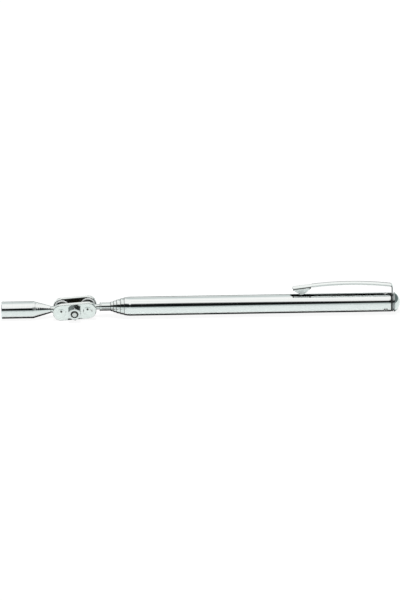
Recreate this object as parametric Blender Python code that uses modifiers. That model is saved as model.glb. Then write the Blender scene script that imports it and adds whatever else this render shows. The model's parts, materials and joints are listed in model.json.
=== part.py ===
"""Telescoping magnetic pickup tool: six nested tubes, a two-ball swivel and a pocket clip.

Run with: blender --background --python part.py

Metres, +Z up. The closed tool lies along X with the magnet's face towards -X, the pocket
clip on top (+Z) and the swivel's nut in front (-Y). The origin is the bottom centre of the
tool's box. Driving dimensions are in millimetres. A station is a distance along X from the
magnet's face, and heights are above the surface the tool lies on.
"""

import math

import bmesh
import bpy

MM = 0.001
SEGMENTS = 32
MERGE = 1e-6

# Whole tool
LENGTH = 183.2
FIT_GAP = 0.04
FACE_GAP = 0.02
SHANK_CLEARANCE = 0.05
CUT_MARGIN = 0.1
CUT_OVERRUN = 2.0

# Magnet head
HEAD_RADIUS = 3.95
HEAD_STRAIGHT = 14.6
HEAD_END = 22.7
HEAD_END_RADIUS = 1.8
HEAD_EDGE_ROUND = 0.35
HEAD_END_CHAMFER = 0.15
HEAD_SHOULDER_HALF = 0.3
HEAD_SHOULDER_DROP = 0.03
MAGNET_CHAMFER = 0.15
MAGNET_RADIUS = 3.2
MAGNET_LENGTH = 10.6
DISC_THICKNESS = 1.5
HEAD_BORE_RADIUS = MAGNET_RADIUS + SHANK_CLEARANCE
HEAD_BORE_DEPTH = MAGNET_LENGTH + DISC_THICKNESS + 0.1
HEAD_STUD_SHANK_RADIUS = 1.1
HEAD_STUD_SHANK_START = 13.4

# Swivel: two plates clamped over two balls by a screw between them
HEAD_BALL_STATION = 27.7
BALL_SPACING = 12.1
SWIVEL_PITCH = math.radians(4.5)
BALL_RADIUS = 2.6
SOCKET_RADIUS = 2.7
HEAD_NECK_RADIUS = 1.5
ROD_NECK_RADIUS = 1.25
PLATE_RADIUS = 3.95
PLATE_THICKNESS = 2.1
PLATE_INNER = 2.1
PLATE_OUTER = PLATE_INNER + PLATE_THICKNESS
PLATE_EDGE_ROUND = 0.35
BULGE_RADIUS = 2.3
BULGE_HEIGHT = 0.35
BULGE_ROOT = 0.5
SCREW_RADIUS = 1.45
SCREW_HOLE_RADIUS = 1.6
SCREW_REACH = 7.2
SCREW_CHAMFER = 0.25
SCREW_HEAD_RADIUS = 2.8
SCREW_HEAD_DOME = ((0.9, SCREW_HEAD_RADIUS), (0.45, 2.5), (0.1, 1.6), (0.0, 0.9), (0.0, 0.0))
SCREW_SLOT_WIDTH = 0.8
SCREW_SLOT_DEPTH = 1.1
NUT_ACROSS_FLATS = 5.5
NUT_THICKNESS = 2.6
NUT_BORE_RADIUS = 1.5
NUT_CHAMFER = 0.4
NUT_FLAT_RADIUS = NUT_ACROSS_FLATS / 2 - 0.1
NUT_MOUTH_DEPTH = 0.35
SPACER_INNER_RADIUS = 1.55
SPACER_OUTER_RADIUS = 2.1
SPACER_HALF_LENGTH = 1.9

# Telescoping tubes, outermost first. The mouth is the swaged front end of each tube.
TUBE_RADII = (4.4, 3.9, 3.4, 2.9, 2.4, 1.9)
TUBE_MOUTHS = (56.4, 54.6, 52.8, 51.4, 50.05, 45.1)
TUBE_WALL = 0.25
SWAGE_DROP = 0.32
BARREL_SWAGE = 3.2
SECTION_SWAGE = 2.4
SWAGE_STEPS = 4
MOUTH_LIP = 0.08
MOUTH_CHAMFER = 0.06
TUBE_END_CHAMFER = 0.06
BARREL_END = 179.2
SECTION_2_END = 170.2
TAIL_STAGGER = 4.5
SLEEVE_FRONT = 6.0
SLEEVE_BACK = 0.3
SLEEVE_SLIT = 0.6
SPIGOT_LENGTH = 3.0
FLANGE_THICKNESS = 0.8
FLANGE_CHAMFER = 0.1
SLEEVE_SLIT_REACH = 1.0
TIP_BEAD_RADIUS = 2.03
TIP_BEAD_LENGTH = 0.55
TIP_BEAD_ROUND = 0.15
TIP_GROOVE_DEPTH = 0.07
ROD_SHANK_END = 53.0

# Rear end
PLUG_FRONT = 171.6
PLUG_BACK = 179.1
STAKE_STATION = 176.5
STAKE_GROOVE_HALF = 0.7
STAKE_GROOVE_FLOOR_HALF = 0.3
PLUG_CHAMFER = 0.3
PLUG_BORE_EXTRA = 0.3
STAKE_GROOVE_DEPTH = 0.45
CAP_SHANK_RADIUS = 1.3
CAP_SHANK_FRONT = 175.0
RING_FRONT = 179.32
RING_THICKNESS = 0.6
RING_RADIUS = 4.35
RING_BORE_RADIUS = 1.6
CAP_SEAT = 179.97
CAP_SEAT_RADIUS = 3.9
CAP_RIM_FRONT = 180.3
CAP_RIM_BACK = 180.75
CAP_RADIUS = 4.45
CAP_CHAMFER = 0.08

# Pocket clip: a leg, a bend, a long arched arm and a boat-shaped tip (heights above the
# barrel's axis)
CLIP_WIDTH = 3.5
CLIP_THICKNESS = 0.5
CLIP_LEG_STATION = RING_FRONT + RING_THICKNESS / 2
CLIP_LEG_BOTTOM = 4.55
CLIP_BEND_RADIUS = 0.95
CLIP_ARCH_RADIUS = 145.0
CLIP_ARCH_STATION = 160.0
CLIP_ARCH_HEIGHT = 10.02
CLIP_STRAIGHT_FROM = 142.3
CLIP_TIP_STATION = 133.7
BOAT_START = 134.3
BOAT_END = 142.1
BOAT_KEEL_STATION = 138.2
BOAT_KEEL_HEIGHT = 4.43
BOAT_KEEL_HALF = 0.35
BOAT_KEEL_LENGTH = 0.5

# Worked out from the dimensions above
HEAD_AXIS_HEIGHT = HEAD_RADIUS
BARREL_AXIS_HEIGHT = HEAD_AXIS_HEIGHT + BALL_SPACING * math.sin(SWIVEL_PITCH)
ROD_BALL_STATION = HEAD_BALL_STATION + BALL_SPACING * math.cos(SWIVEL_PITCH)
SECTION_COUNT = len(TUBE_RADII)

CHROME = (0.80, 0.82, 0.82)
POLISHED_STEEL = (0.72, 0.74, 0.74)
PLATED_STEEL = (0.74, 0.76, 0.74)
DARK_STEEL = (0.30, 0.31, 0.31)
NICKEL = (0.66, 0.64, 0.60)
BRASS = (0.72, 0.53, 0.25)


def clear_scene():
    for obj in list(bpy.data.objects):
        bpy.data.objects.remove(obj, do_unlink=True)


def new_collection(name):
    collection = bpy.data.collections.new(name)
    bpy.context.scene.collection.children.link(collection)
    return collection


def metal(name, color, roughness):
    material = bpy.data.materials.new(name)
    material.use_nodes = True
    shader = material.node_tree.nodes["Principled BSDF"]
    shader.inputs["Base Color"].default_value = (*color, 1.0)
    shader.inputs["Metallic"].default_value = 1.0
    shader.inputs["Roughness"].default_value = roughness
    material.diffuse_color = (*color, 1.0)
    return material


def make_object(name, data, parent, collection, material=None):
    obj = bpy.data.objects.new(name, data)
    collection.objects.link(obj)
    obj.parent = parent
    if material is not None:
        data.materials.append(material)
    return obj


def make_pivot(name, station, height, pitch=0.0):
    """An empty on a joint's axis. Its children are placed from it."""
    pivot = bpy.data.objects.new(name, None)
    parts.objects.link(pivot)
    pivot.location = ((station - LENGTH / 2) * MM, 0.0, height * MM)
    pivot.rotation_euler = (0.0, -pitch, 0.0)
    pivot.empty_display_size = 5 * MM
    pivot["station"] = station
    return pivot


def mark_as_cutter(obj):
    obj.hide_render = True
    obj.display_type = "WIRE"


def baked(obj):
    """Replace a piece's curve or modifiers by the mesh that they make."""
    bpy.context.view_layer.update()
    evaluated = obj.evaluated_get(bpy.context.evaluated_depsgraph_get())
    mesh = bpy.data.meshes.new_from_object(evaluated)
    solid = bmesh.new()
    solid.from_mesh(mesh)
    bmesh.ops.remove_doubles(solid, verts=solid.verts, dist=MERGE)
    bmesh.ops.recalc_face_normals(solid, faces=solid.faces)
    solid.to_mesh(mesh)
    solid.free()
    return mesh


def shade(mesh, angle=35.0):
    mesh.shade_smooth()
    mesh.set_sharp_from_angle(angle=math.radians(angle))


def turned_mesh(name, profile, closed, segments=SEGMENTS):
    """Spin (distance along the axis, radius) points in mm round local Z.

    The profile runs down its outer side, from the highest point to the lowest.
    """
    points = [(radius * MM, 0.0, along * MM) for along, radius in profile]
    edges = [(i, i + 1) for i in range(len(points) - 1)]
    if closed:
        edges.append((len(points) - 1, 0))
    outline = bpy.data.meshes.new(name)
    outline.from_pydata(points, edges, [])
    spinner = bpy.data.objects.new(name + "_outline", outline)
    cutters.objects.link(spinner)
    screw = spinner.modifiers.new("turn", "SCREW")
    screw.steps = segments
    screw.render_steps = segments
    screw.use_merge_vertices = True
    screw.merge_threshold = MERGE
    mesh = baked(spinner)
    mesh.name = name
    bpy.data.objects.remove(spinner)
    bpy.data.meshes.remove(outline)
    shade(mesh)
    return mesh


def turned_on_x(name, profile, closed, pivot, material, collection=None):
    """A turned piece along X. Its profile is given in stations."""
    local = [(station - pivot["station"], radius) for station, radius in profile]
    mesh = turned_mesh(name, local, closed)
    obj = make_object(name, mesh, pivot, collection or parts, material)
    obj.rotation_euler = (0.0, math.pi / 2, 0.0)
    return obj


def turned_on_y(name, profile, closed, pivot, along, material, collection=None, segments=SEGMENTS):
    """A turned piece across the swivel. Its profile's axis points to the front (-Y)."""
    mesh = turned_mesh(name, profile, closed, segments)
    obj = make_object(name, mesh, pivot, collection or parts, material)
    obj.location = (along * MM, 0.0, 0.0)
    obj.rotation_euler = (math.pi / 2, 0.0, 0.0)
    return obj


def boolean(obj, other, operation):
    modifier = obj.modifiers.new(operation.lower(), "BOOLEAN")
    modifier.operation = operation
    modifier.solver = "EXACT"
    modifier.object = other
    mark_as_cutter(other)


def box_cutter(name, size, location, pivot):
    mesh = bpy.data.meshes.new(name)
    solid = bmesh.new()
    bmesh.ops.create_cube(solid, size=1.0)
    bmesh.ops.scale(solid, vec=[edge * MM for edge in size], verts=solid.verts)
    solid.to_mesh(mesh)
    solid.free()
    obj = make_object(name, mesh, pivot, cutters)
    obj.location = [value * MM for value in location]
    return obj


def arc(centre_along, centre_radius, radius, start, end, steps):
    """Points on an arc, angles in degrees from the +axis direction towards +radius."""
    points = []
    for i in range(steps + 1):
        angle = math.radians(start + (end - start) * i / steps)
        points.append((centre_along + radius * math.cos(angle),
                       centre_radius + radius * math.sin(angle)))
    return points


# Magnet head --------------------------------------------------------------------------

def make_head_shell(pivot):
    edge = HEAD_EDGE_ROUND
    bore = HEAD_STUD_SHANK_RADIUS + SHANK_CLEARANCE
    half = HEAD_SHOULDER_HALF
    profile = [(HEAD_END, bore), (HEAD_END, HEAD_END_RADIUS - HEAD_END_CHAMFER),
               (HEAD_END - HEAD_END_CHAMFER, HEAD_END_RADIUS),
               (HEAD_STRAIGHT + half, HEAD_RADIUS - HEAD_SHOULDER_DROP),
               (HEAD_STRAIGHT - half, HEAD_RADIUS)]
    profile += arc(edge, HEAD_RADIUS - edge, edge, 90.0, 180.0, 3)
    profile += [(0.0, HEAD_BORE_RADIUS), (HEAD_BORE_DEPTH, HEAD_BORE_RADIUS),
                (HEAD_BORE_DEPTH, bore)]
    turned_on_x("magnet_head_shell", profile, True, pivot, chrome)


def make_magnet(pivot):
    profile = [(MAGNET_LENGTH, 0.0), (MAGNET_LENGTH, MAGNET_RADIUS),
               (MAGNET_CHAMFER, MAGNET_RADIUS), (0.0, MAGNET_RADIUS - MAGNET_CHAMFER), (0.0, 0.0)]
    turned_on_x("magnet", profile, False, pivot, nickel)


def make_backing_disc(pivot):
    front = MAGNET_LENGTH + FACE_GAP
    back = front + DISC_THICKNESS
    profile = [(back, 0.0), (back, MAGNET_RADIUS), (front, MAGNET_RADIUS), (front, 0.0)]
    turned_on_x("backing_disc", profile, False, pivot, dark_steel)


# Ball studs ---------------------------------------------------------------------------

def ball_arc(centre, neck_radius, towards_front):
    """The ball's outline from its far pole to where the neck leaves it."""
    meets = math.degrees(math.asin(neck_radius / BALL_RADIUS))
    if towards_front:
        return arc(centre, 0.0, BALL_RADIUS, 0.0, 180.0 - meets, 10)
    return arc(centre, 0.0, BALL_RADIUS, meets, 180.0, 10)


def make_head_ball_stud(pivot):
    profile = ball_arc(HEAD_BALL_STATION, HEAD_NECK_RADIUS, True)
    shoulder = HEAD_END + FACE_GAP
    profile += [(shoulder, HEAD_NECK_RADIUS), (shoulder, HEAD_STUD_SHANK_RADIUS),
                (HEAD_STUD_SHANK_START, HEAD_STUD_SHANK_RADIUS), (HEAD_STUD_SHANK_START, 0.0)]
    turned_on_x("head_ball_stud", profile, False, pivot, polished_steel)


def make_rod_ball_stud(pivot):
    shank_radius = TUBE_RADII[-1] - TUBE_WALL - FIT_GAP
    shoulder = TUBE_MOUTHS[-1] + CUT_MARGIN
    profile = [(ROD_SHANK_END, 0.0), (ROD_SHANK_END, shank_radius),
               (shoulder, shank_radius), (shoulder, ROD_NECK_RADIUS)]
    profile += ball_arc(ROD_BALL_STATION, ROD_NECK_RADIUS, False)
    turned_on_x("rod_ball_stud", profile, False, pivot, polished_steel)


# Swivel link: everything is placed from the rod ball, with the head ball at -BALL_SPACING

def stadium_points(half_length, radius, steps=12):
    """A stadium outline, counter-clockwise, centred on the origin."""
    points = []
    for centre, start in ((half_length, -90.0), (-half_length, 90.0)):
        points += [(x, y) for x, y in arc(centre, 0.0, radius, start, start + 180.0, steps)]
    return points


def plate_blank(name, pivot):
    curve = bpy.data.curves.new(name, "CURVE")
    curve.dimensions = "2D"
    curve.fill_mode = "BOTH"
    curve.extrude = PLATE_THICKNESS / 2 * MM
    outline = stadium_points(BALL_SPACING / 2, PLATE_RADIUS)
    spline = curve.splines.new("POLY")
    spline.points.add(len(outline) - 1)
    for point, (x, y) in zip(spline.points, outline):
        point.co = (x * MM, y * MM, 0.0, 1.0)
    spline.use_cyclic_u = True
    flat = bpy.data.objects.new(name + "_outline", curve)
    cutters.objects.link(flat)
    mesh = baked(flat)
    mesh.name = name
    bpy.data.objects.remove(flat)
    bpy.data.curves.remove(curve)
    shade(mesh)
    return make_object(name, mesh, pivot, parts, plated_steel)


def make_plate(name, pivot, side):
    """side is 1 for the front plate and -1 for the rear plate."""
    plate = plate_blank(name, pivot)
    middle = PLATE_INNER + PLATE_THICKNESS / 2
    plate.location = (-BALL_SPACING / 2 * MM, -side * middle * MM, 0.0)
    plate.rotation_euler = (math.pi / 2, 0.0, 0.0)
    bevel = plate.modifiers.new("edge_round", "BEVEL")
    bevel.width = PLATE_EDGE_ROUND * MM
    bevel.segments = 2
    bevel.limit_method = "ANGLE"
    bevel.angle_limit = math.radians(50.0)
    for i, along in enumerate((0.0, -BALL_SPACING)):
        boolean(plate, make_bulge(f"{name}_bulge_{i}", pivot, along, side), "UNION")
        socket = ball_arc(0.0, 0.0, True)
        socket = [(z * SOCKET_RADIUS / BALL_RADIUS, r * SOCKET_RADIUS / BALL_RADIUS)
                  for z, r in socket]
        cutter = turned_on_y(f"{name}_socket_{i}", socket, False, pivot, along, None, cutters, 24)
        boolean(plate, cutter, "DIFFERENCE")
    reach = PLATE_OUTER + CUT_OVERRUN
    hole = [(reach, 0.0), (reach, SCREW_HOLE_RADIUS), (-reach, SCREW_HOLE_RADIUS), (-reach, 0.0)]
    cutter = turned_on_y(f"{name}_hole", hole, False, pivot, -BALL_SPACING / 2, None, cutters, 24)
    boolean(plate, cutter, "DIFFERENCE")


def make_bulge(name, pivot, along, side):
    """The low dome that each ball socket raises on a plate's outer face."""
    dome_radius = (BULGE_RADIUS ** 2 + BULGE_HEIGHT ** 2) / (2 * BULGE_HEIGHT)
    centre = PLATE_OUTER + BULGE_HEIGHT - dome_radius
    spread = math.degrees(math.asin(BULGE_RADIUS / dome_radius))
    root = PLATE_OUTER - BULGE_ROOT
    profile = arc(centre, 0.0, dome_radius, 0.0, spread, 3)
    profile += [(root, BULGE_RADIUS), (root, 0.0)]
    if side < 0:
        profile = [(-z, r) for z, r in reversed(profile)]
    return turned_on_y(name, profile, False, pivot, along, None, cutters, 24)


def make_clamp_screw(pivot):
    head_front = -(PLATE_OUTER + FACE_GAP)
    profile = [(SCREW_REACH, 0.0), (SCREW_REACH, SCREW_RADIUS - SCREW_CHAMFER),
               (SCREW_REACH - SCREW_CHAMFER, SCREW_RADIUS), (head_front, SCREW_RADIUS),
               (head_front, SCREW_HEAD_RADIUS)]
    profile += [(depth - SCREW_REACH, radius) for depth, radius in SCREW_HEAD_DOME]
    screw = turned_on_y("clamp_screw", profile, False, pivot, -BALL_SPACING / 2, polished_steel)
    slot_size = (3 * SCREW_HEAD_RADIUS, 2 * SCREW_SLOT_DEPTH, SCREW_SLOT_WIDTH)
    slot_place = (-BALL_SPACING / 2, SCREW_REACH, 0.0)
    boolean(screw, box_cutter("clamp_screw_slot", slot_size, slot_place, pivot), "DIFFERENCE")


def make_clamp_nut(pivot):
    corner = NUT_ACROSS_FLATS / math.sqrt(3.0)
    inner = PLATE_OUTER + FACE_GAP
    outer = inner + NUT_THICKNESS
    mesh = bpy.data.meshes.new("clamp_nut")
    solid = bmesh.new()
    bmesh.ops.create_cone(solid, cap_ends=True, segments=6, radius1=corner * MM,
                          radius2=corner * MM, depth=NUT_THICKNESS * MM)
    solid.to_mesh(mesh)
    solid.free()
    nut = make_object("clamp_nut", mesh, pivot, parts, chrome)
    nut.location = (-BALL_SPACING / 2 * MM, -(inner + outer) / 2 * MM, 0.0)
    nut.rotation_euler = (math.pi / 2, 0.0, 0.0)
    beyond = corner + CUT_MARGIN
    envelope = [(outer + FACE_GAP, 0.0), (outer + FACE_GAP, NUT_FLAT_RADIUS),
                (outer - NUT_CHAMFER, beyond), (inner - CUT_MARGIN, beyond),
                (inner - CUT_MARGIN, 0.0)]
    boolean(nut, turned_on_y("clamp_nut_envelope", envelope, False, pivot, -BALL_SPACING / 2,
                             None, cutters, 24), "INTERSECT")
    mouth = NUT_BORE_RADIUS + NUT_MOUTH_DEPTH + CUT_MARGIN
    bore = [(outer + CUT_MARGIN, 0.0), (outer + CUT_MARGIN, mouth),
            (outer - NUT_MOUTH_DEPTH, NUT_BORE_RADIUS), (inner - CUT_MARGIN, NUT_BORE_RADIUS),
            (inner - CUT_MARGIN, 0.0)]
    boolean(nut, turned_on_y("clamp_nut_bore", bore, False, pivot, -BALL_SPACING / 2,
                             None, cutters, 24), "DIFFERENCE")


def make_spacer_sleeve(pivot):
    half = SPACER_HALF_LENGTH
    profile = [(half, SPACER_INNER_RADIUS), (half, SPACER_OUTER_RADIUS),
               (-half, SPACER_OUTER_RADIUS), (-half, SPACER_INNER_RADIUS)]
    turned_on_y("spacer_sleeve", profile, True, pivot, -BALL_SPACING / 2, brass)


# Telescoping tubes --------------------------------------------------------------------

def swaged_tube_profile(index, end):
    """A tube that narrows at its mouth, so that the next tube's sleeve can't leave it."""
    radius = TUBE_RADII[index]
    mouth = TUBE_MOUTHS[index]
    swage = BARREL_SWAGE if index == 0 else SECTION_SWAGE
    bore = radius - TUBE_WALL
    mouth_bore = TUBE_RADII[index + 1] + FIT_GAP
    profile = [(end, radius - TUBE_END_CHAMFER), (end - TUBE_END_CHAMFER, radius)]
    for i in range(SWAGE_STEPS + 1):
        t = 1.0 - i / SWAGE_STEPS
        station = mouth + MOUTH_LIP + (swage - MOUTH_LIP) * t
        profile.append((station, radius - SWAGE_DROP * (1.0 - t) ** 2))
    profile += [(mouth, mouth_bore + MOUTH_CHAMFER), (mouth, mouth_bore),
                (mouth + 0.5 * swage, mouth_bore), (mouth + swage, bore), (end, bore)]
    return profile


def make_tip_tube(pivot, end):
    radius = TUBE_RADII[-1]
    bore = radius - TUBE_WALL
    mouth = TUBE_MOUTHS[-1]
    bead = mouth + TIP_BEAD_LENGTH
    edge = TIP_BEAD_ROUND
    profile = [(end, bore), (end, radius), (bead + edge, radius),
               (bead, radius - TIP_GROOVE_DEPTH), (bead - edge / 2, TIP_BEAD_RADIUS),
               (mouth + edge, TIP_BEAD_RADIUS), (mouth, TIP_BEAD_RADIUS - edge), (mouth, bore)]
    turned_on_x("section_6_tube", profile, True, pivot, polished_steel)


def section_end(number):
    return SECTION_2_END - (number - 2) * TAIL_STAGGER


def make_friction_sleeve(number, pivot, end):
    outer = TUBE_RADII[number - 2] - TUBE_WALL - FIT_GAP
    inner = TUBE_RADII[number - 1] + FIT_GAP / 2
    front = end - SLEEVE_FRONT
    back = end - SLEEVE_BACK
    profile = [(back, inner), (back, outer), (front, outer), (front, inner)]
    name = f"section_{number}_friction_sleeve"
    sleeve = turned_on_x(name, profile, True, pivot, brass)
    middle = (front + back) / 2 - pivot["station"]
    slit_size = (SLEEVE_FRONT + CUT_OVERRUN, SLEEVE_SLIT_REACH, SLEEVE_SLIT)
    slit_place = (middle, (inner + outer) / 2, 0.0)
    boolean(sleeve, box_cutter(name + "_slit", slit_size, slit_place, pivot), "DIFFERENCE")


def make_tail_plug(number, pivot, end):
    flange_radius = TUBE_RADII[number - 2] - TUBE_WALL - 2 * FIT_GAP
    spigot_radius = TUBE_RADII[number - 1] - TUBE_WALL - FIT_GAP
    front = end - SPIGOT_LENGTH
    seat = end + FACE_GAP
    back = seat + FLANGE_THICKNESS
    profile = [(back, 0.0), (back, flange_radius - FLANGE_CHAMFER),
               (back - FLANGE_CHAMFER, flange_radius),
               (seat, flange_radius), (seat, spigot_radius), (front, spigot_radius), (front, 0.0)]
    turned_on_x(f"section_{number}_tail_plug", profile, False, pivot, brass)


def make_section(number):
    pivot = make_pivot(f"section_{number}_slide_axis", TUBE_MOUTHS[number - 2], BARREL_AXIS_HEIGHT)
    end = section_end(number)
    if number == SECTION_COUNT:
        make_tip_tube(pivot, end)
    else:
        profile = swaged_tube_profile(number - 1, end)
        turned_on_x(f"section_{number}_tube", profile, True, pivot, polished_steel)
    make_friction_sleeve(number, pivot, end)
    make_tail_plug(number, pivot, end)


# Barrel and rear end ------------------------------------------------------------------

def make_end_plug(pivot):
    radius = TUBE_RADII[0] - TUBE_WALL - FIT_GAP
    bore = CAP_SHANK_RADIUS + FIT_GAP
    bore_end = CAP_SHANK_FRONT - PLUG_BORE_EXTRA
    groove = radius - STAKE_GROOVE_DEPTH
    half = STAKE_GROOVE_HALF
    floor_half = STAKE_GROOVE_FLOOR_HALF
    profile = [(bore_end, 0.0), (bore_end, bore), (PLUG_BACK, bore), (PLUG_BACK, radius),
               (STAKE_STATION + half, radius), (STAKE_STATION + floor_half, groove),
               (STAKE_STATION - floor_half, groove), (STAKE_STATION - half, radius),
               (PLUG_FRONT + PLUG_CHAMFER, radius), (PLUG_FRONT, radius - PLUG_CHAMFER),
               (PLUG_FRONT, 0.0)]
    turned_on_x("end_plug", profile, False, pivot, brass)


def make_clip_ring(pivot):
    back = RING_FRONT + RING_THICKNESS
    profile = [(back, RING_BORE_RADIUS), (back, RING_RADIUS),
               (RING_FRONT, RING_RADIUS), (RING_FRONT, RING_BORE_RADIUS)]
    turned_on_x("clip_ring", profile, True, pivot, dark_steel)


def make_end_cap(pivot):
    rise = LENGTH - CAP_RIM_BACK
    dome_radius = (CAP_RADIUS ** 2 + rise ** 2) / (2 * rise)
    spread = math.degrees(math.asin(CAP_RADIUS / dome_radius))
    profile = arc(LENGTH - dome_radius, 0.0, dome_radius, 0.0, spread, 7)
    profile += [(CAP_RIM_FRONT + CAP_CHAMFER, CAP_RADIUS),
                (CAP_RIM_FRONT, CAP_RADIUS - CAP_CHAMFER),
                (CAP_RIM_FRONT, CAP_SEAT_RADIUS), (CAP_SEAT, CAP_SEAT_RADIUS),
                (CAP_SEAT, CAP_SHANK_RADIUS), (CAP_SHANK_FRONT, CAP_SHANK_RADIUS),
                (CAP_SHANK_FRONT, 0.0)]
    turned_on_x("end_cap", profile, False, pivot, chrome)


# Pocket clip --------------------------------------------------------------------------

def clip_path():
    """The strip's middle line as (station, height above the barrel's axis) points."""
    bend_station = CLIP_LEG_STATION - CLIP_BEND_RADIUS
    arch_centre = CLIP_ARCH_HEIGHT - CLIP_ARCH_RADIUS
    reach = CLIP_ARCH_RADIUS - CLIP_BEND_RADIUS
    offset = bend_station - CLIP_ARCH_STATION
    bend_height = arch_centre + math.sqrt(reach ** 2 - offset ** 2)
    lean = math.asin(offset / reach)
    points = [(CLIP_LEG_STATION, CLIP_LEG_BOTTOM)]
    for i in range(5):
        angle = (math.pi / 2 - lean) * i / 4
        points.append((bend_station + CLIP_BEND_RADIUS * math.cos(angle),
                       bend_height + CLIP_BEND_RADIUS * math.sin(angle)))
    last = math.asin((CLIP_STRAIGHT_FROM - CLIP_ARCH_STATION) / CLIP_ARCH_RADIUS)
    for i in range(1, 13):
        angle = lean + (last - lean) * i / 12
        points.append((CLIP_ARCH_STATION + CLIP_ARCH_RADIUS * math.sin(angle),
                       arch_centre + CLIP_ARCH_RADIUS * math.cos(angle)))
    straight = CLIP_STRAIGHT_FROM - CLIP_TIP_STATION
    points.append((CLIP_TIP_STATION, points[-1][1] + straight * math.tan(last)))
    return points


def strip_outline(path, thickness):
    """Both sides of a strip seen edge-on, at half its thickness from its middle line."""
    left = []
    right = []
    for i, (x, z) in enumerate(path):
        before = path[max(i - 1, 0)]
        after = path[min(i + 1, len(path) - 1)]
        dx, dz = after[0] - before[0], after[1] - before[1]
        size = math.hypot(dx, dz)
        nx, nz = -dz / size * thickness / 2, dx / size * thickness / 2
        left.append((x + nx, z + nz))
        right.append((x - nx, z - nz))
    return left + right[::-1]


def make_clip_boat(pivot, path):
    """The tip's two side flaps, folded down until they meet in a keel over the barrel."""
    def underside(station):
        (x1, z1), (x2, z2) = path[-1], path[-2]
        return z1 + (z2 - z1) * (station - x1) / (x2 - x1)

    corners = []
    for station in (BOAT_START, BOAT_END):
        corners += [(station, y, underside(station)) for y in (-CLIP_WIDTH / 2, CLIP_WIDTH / 2)]
    for station in (BOAT_KEEL_STATION - BOAT_KEEL_LENGTH, BOAT_KEEL_STATION + BOAT_KEEL_LENGTH):
        corners += [(station, y, BOAT_KEEL_HEIGHT) for y in (-BOAT_KEEL_HALF, BOAT_KEEL_HALF)]
    mesh = bpy.data.meshes.new("pocket_clip_boat")
    solid = bmesh.new()
    for x, y, z in corners:
        solid.verts.new(((x - pivot["station"]) * MM, y * MM, (z - CLIP_LEG_BOTTOM) * MM))
    bmesh.ops.convex_hull(solid, input=solid.verts)
    solid.to_mesh(mesh)
    solid.free()
    return make_object("pocket_clip_boat", mesh, pivot, cutters)


def make_pocket_clip():
    pivot = make_pivot("pocket_clip_flex_axis", CLIP_LEG_STATION,
                       BARREL_AXIS_HEIGHT + CLIP_LEG_BOTTOM)
    path = clip_path()
    curve = bpy.data.curves.new("pocket_clip", "CURVE")
    curve.dimensions = "2D"
    curve.fill_mode = "BOTH"
    curve.extrude = CLIP_WIDTH / 2 * MM
    outline = strip_outline(path, CLIP_THICKNESS)
    spline = curve.splines.new("POLY")
    spline.points.add(len(outline) - 1)
    for point, (station, height) in zip(spline.points, outline):
        x = (station - CLIP_LEG_STATION) * MM
        y = (height - CLIP_LEG_BOTTOM) * MM
        point.co = (x, y, 0.0, 1.0)
    spline.use_cyclic_u = True
    flat = bpy.data.objects.new("pocket_clip_outline", curve)
    cutters.objects.link(flat)
    mesh = baked(flat)
    mesh.name = "pocket_clip"
    bpy.data.objects.remove(flat)
    bpy.data.curves.remove(curve)
    shade(mesh)
    clip = make_object("pocket_clip", mesh, pivot, parts, chrome)
    clip.rotation_euler = (math.pi / 2, 0.0, 0.0)
    boolean(clip, make_clip_boat(pivot, path), "UNION")


def make_barrel():
    pivot = make_pivot("tool_axis", BARREL_END, BARREL_AXIS_HEIGHT)
    turned_on_x("barrel_tube", swaged_tube_profile(0, BARREL_END), True, pivot, chrome)
    make_end_plug(pivot)
    make_clip_ring(pivot)
    make_end_cap(pivot)


def make_swivel():
    head_pivot = make_pivot("magnet_head_roll_axis", HEAD_BALL_STATION, HEAD_AXIS_HEIGHT)
    make_head_shell(head_pivot)
    make_magnet(head_pivot)
    make_backing_disc(head_pivot)
    head_ball_pivot = make_pivot("head_ball_pitch_axis", HEAD_BALL_STATION, HEAD_AXIS_HEIGHT)
    make_head_ball_stud(head_ball_pivot)
    link_pivot = make_pivot("rod_ball_pitch_axis", ROD_BALL_STATION, BARREL_AXIS_HEIGHT,
                            SWIVEL_PITCH)
    make_plate("front_plate", link_pivot, 1)
    make_plate("rear_plate", link_pivot, -1)
    make_clamp_screw(link_pivot)
    make_clamp_nut(link_pivot)
    make_spacer_sleeve(link_pivot)
    rod_pivot = make_pivot("rod_ball_roll_axis", ROD_BALL_STATION, BARREL_AXIS_HEIGHT)
    make_rod_ball_stud(rod_pivot)


clear_scene()
parts = new_collection("magnetic_pickup_tool")
cutters = new_collection("cutters")
chrome = metal("chrome", CHROME, 0.08)
polished_steel = metal("polished_steel", POLISHED_STEEL, 0.14)
plated_steel = metal("plated_steel", PLATED_STEEL, 0.25)
dark_steel = metal("dark_steel", DARK_STEEL, 0.4)
nickel = metal("nickel", NICKEL, 0.2)
brass = metal("brass", BRASS, 0.3)

make_swivel()
for section_number in range(SECTION_COUNT, 1, -1):
    make_section(section_number)
make_barrel()
make_pocket_clip()
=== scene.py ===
"""Looks of the telescoping magnetic pickup tool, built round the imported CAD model.

Shapes are worked out in millimetres from the CAD nodes' boxes and the joints' positions, and
turned into metres when a mesh is made. X runs along the tool, +Z is up, -Y is the front.
"""

import json
import math

import bmesh
import bpy
from mathutils import Matrix, Quaternion, Vector


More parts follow.
